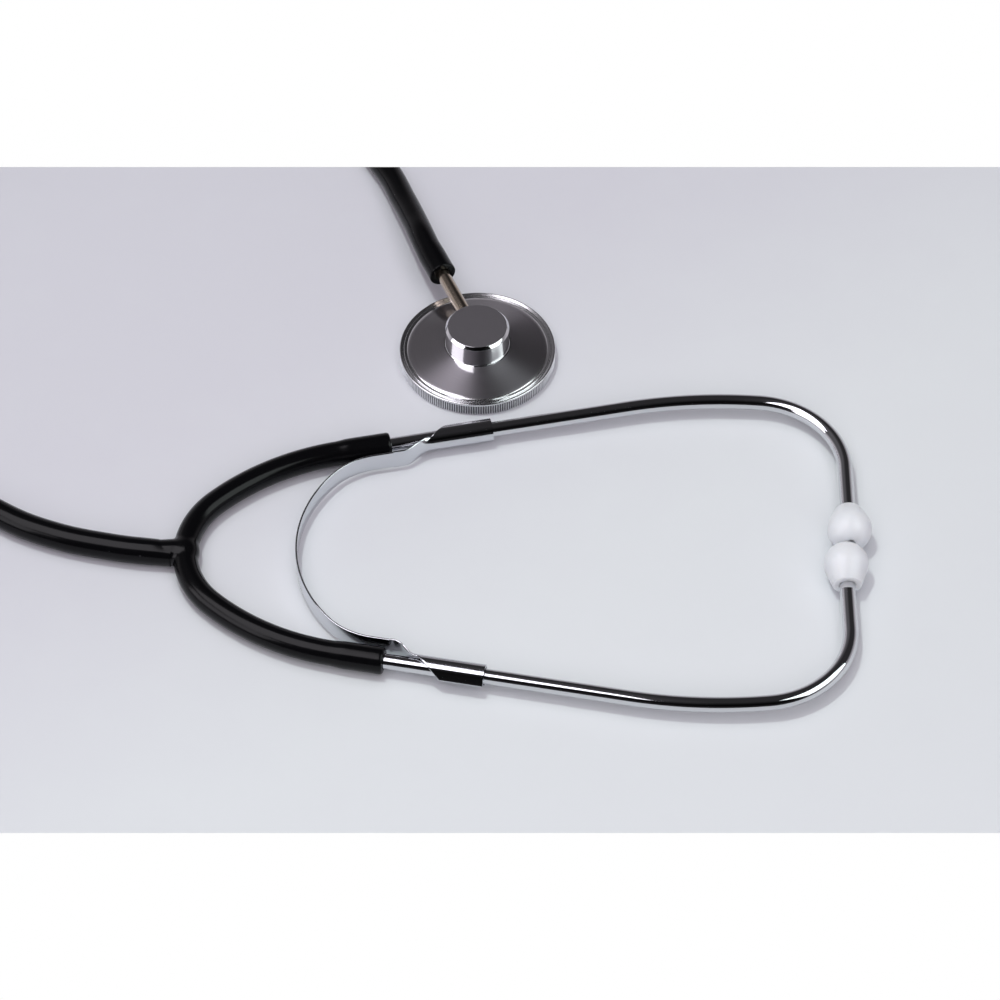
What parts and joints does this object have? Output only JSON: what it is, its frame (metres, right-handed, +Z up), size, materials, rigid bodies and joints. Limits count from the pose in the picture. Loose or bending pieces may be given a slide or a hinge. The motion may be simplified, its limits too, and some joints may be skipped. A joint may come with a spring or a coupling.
{
  "type": "toy stethoscope",
  "caption": "Pretend-play stethoscope lying on a table: flat metal chestpiece on a black vinyl hose, Y end, sprung chrome ear tubes and white ear tips.",
  "frame": {"origin": "on the table, under the middle of the box round everything but the free hose", "axes": "+X along the middle line of the ear tubes towards the ear tips, +Y away from the viewer, +Z up from the table"},
  "size_m": [0.311, 0.2607, 0.0143],
  "materials": {
    "vinyl": "smooth black vinyl, moderately glossy",
    "spring_steel": "plated spring strip, bright",
    "chrome": "polished chrome plate",
    "tip_plastic": "moulded milky white plastic",
    "turned_alloy": "turned satin face, polished hub side and rim",
    "nickel": "warm nickel plate, lightly worn",
    "membrane": "thin stiff plastic sheet",
    "ring_alloy": "knurled edge, bright"
  },
  "bodies": {
    "tubing": {"main_tube": "vinyl", "y_tubing": "vinyl", "spring_strip": "spring_steel", "left_sleeve": "spring_steel"},
    "left_ear_tube": {"left_ear_tube": "chrome"},
    "left_ear_tip": {"left_ear_tip": "tip_plastic"},
    "right_grip": {"right_sleeve": "spring_steel"},
    "right_ear_tube": {"right_ear_tube": "chrome"},
    "right_ear_tip": {"right_ear_tip": "tip_plastic"},
    "chestpiece": {"chestpiece_body": "turned_alloy", "stem": "nickel"},
    "diaphragm": {"diaphragm": "membrane"},
    "ring": {"retaining_ring": "ring_alloy"}
  },
  "joints": [
    {"name": "spread", "type": "hinge", "parent": "tubing", "child": "right_grip", "pos_m": [-0.05555, -0.0285, 0.00427], "axis": [0.0067, 0, -1], "range_deg": [0, 45], "stiffness_Nm_per_rad": 0.5, "deforming": ["spring_strip", "y_tubing"]},
    {"name": "left_tube_turn", "type": "hinge", "parent": "tubing", "child": "left_ear_tube", "pos_m": [-0.03755, 0.01292, 0.00439], "axis": [-0.9801, -0.1985, -0.0065], "range_deg": [0, 40]},
    {"name": "right_tube_turn", "type": "hinge", "parent": "right_grip", "child": "right_ear_tube", "pos_m": [-0.03755, -0.06992, 0.00439], "axis": [0.9801, -0.1985, 0.0065], "range_deg": [0, 40]},
    {"name": "left_tip_turn", "type": "hinge", "parent": "left_ear_tube", "child": "left_ear_tip", "pos_m": [0.09708, -0.01514, 0.00546], "axis": [-0.001, -0.9877, 0.1564], "continuous": true},
    {"name": "right_tip_turn", "type": "hinge", "parent": "right_ear_tube", "child": "right_ear_tip", "pos_m": [0.09542, -0.04286, 0.00545], "axis": [-0.001, 0.9877, 0.1564], "continuous": true},
    {"name": "chestpiece_swivel", "type": "hinge", "parent": "tubing", "child": "chestpiece", "pos_m": [-0.01115, 0.0525, 0.01045], "axis": [-0.3827, 0.9239, 0], "range_deg": [-90, 90]},
    {"name": "ring_travel", "type": "slide", "parent": "chestpiece", "child": "diaphragm", "axis": [0, 0, -1], "range_m": [0, 0.00321]},
    {"name": "ring_turn", "type": "hinge", "parent": "diaphragm", "child": "ring", "pos_m": [-0.01115, 0.0525, 0], "axis": [0, 0, -1], "range_deg": [0, 1440]}
  ],
  "couplings": [
    {"joint": "ring_travel", "follows": "ring_turn", "m_per_rad": 0.00012732}
  ]
}
